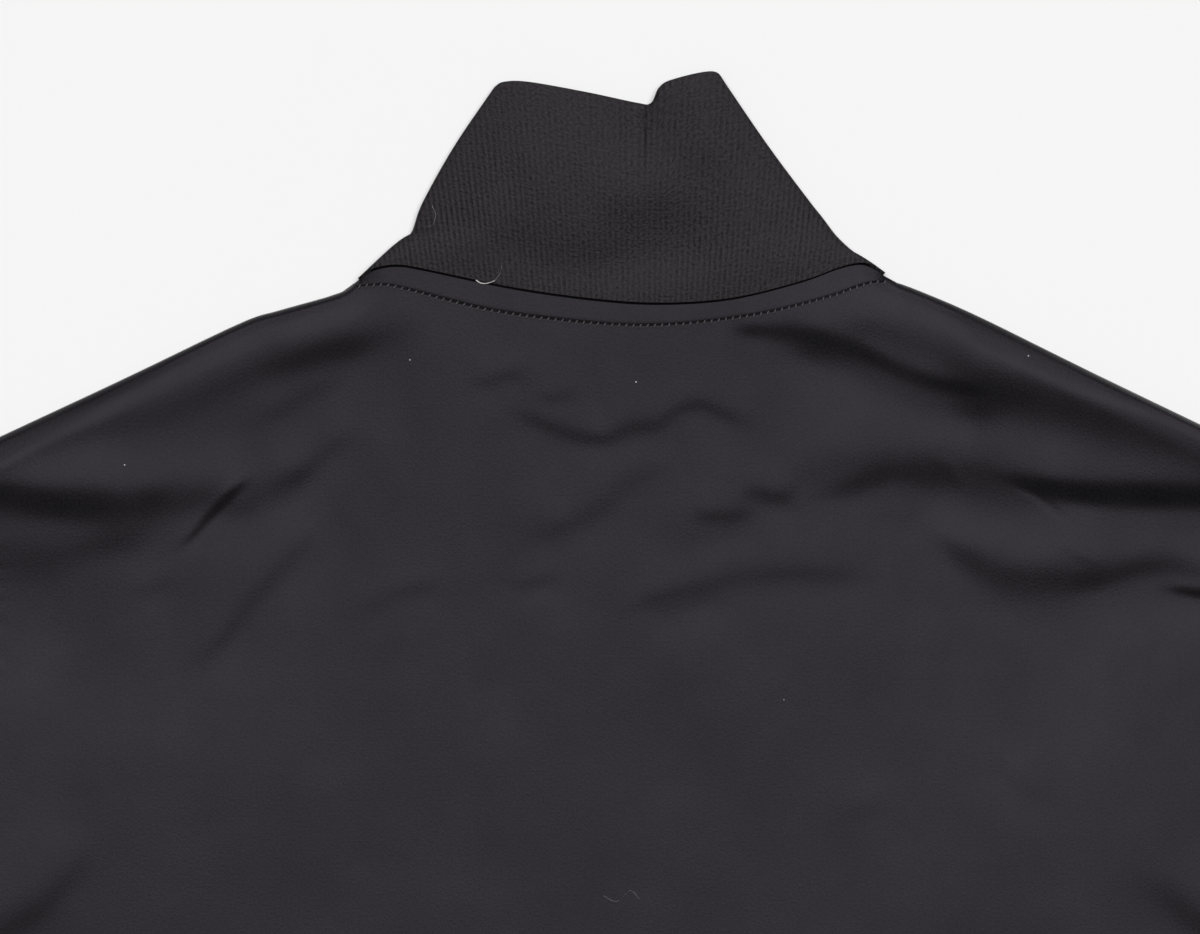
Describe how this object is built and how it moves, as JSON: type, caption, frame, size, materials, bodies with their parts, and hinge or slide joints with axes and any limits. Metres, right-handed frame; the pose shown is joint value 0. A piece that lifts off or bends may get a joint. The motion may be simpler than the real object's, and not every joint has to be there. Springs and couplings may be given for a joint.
{
  "type": "track jacket",
  "caption": "Plain dark track jacket laid out flat on its front: one-piece back, rib stand collar turned up, long sleeves, rib hem and cuffs, closed front zip with a hinged pull tab.",
  "frame": {"origin": "middle of the jacket's underside, on the surface that it lies on", "axes": "+X towards the wearer's right sleeve, +Y up the back to the collar, +Z away from the surface, out of the back"},
  "size_m": [1.2554, 0.7788, 0.0089],
  "materials": {
    "tricot": "satin",
    "rib_knit": "matte",
    "zip_cloth": "matte",
    "zip_teeth": "satin",
    "zip_metal": "satin"
  },
  "bodies": {
    "jacket": {"back": "tricot", "front_left": "tricot", "front_right": "tricot", "sleeve_left": "tricot", "sleeve_right": "tricot", "neck_band": "tricot", "collar": "rib_knit", "hem_band": "rib_knit", "cuff_left": "rib_knit", "cuff_right": "rib_knit", "zip_tape_left": "zip_cloth", "zip_tape_right": "zip_cloth", "zip_chain": "zip_teeth", "zip_slider": "zip_metal"},
    "pull_tab": {"pull_tab": "zip_metal"}
  },
  "joints": [
    {"name": "pull_tab_hinge", "type": "hinge", "parent": "jacket", "child": "pull_tab", "pos_m": [0, 0.2969, 0.00133], "axis": [1, 0, 0], "range_deg": [0, 165]}
  ]
}
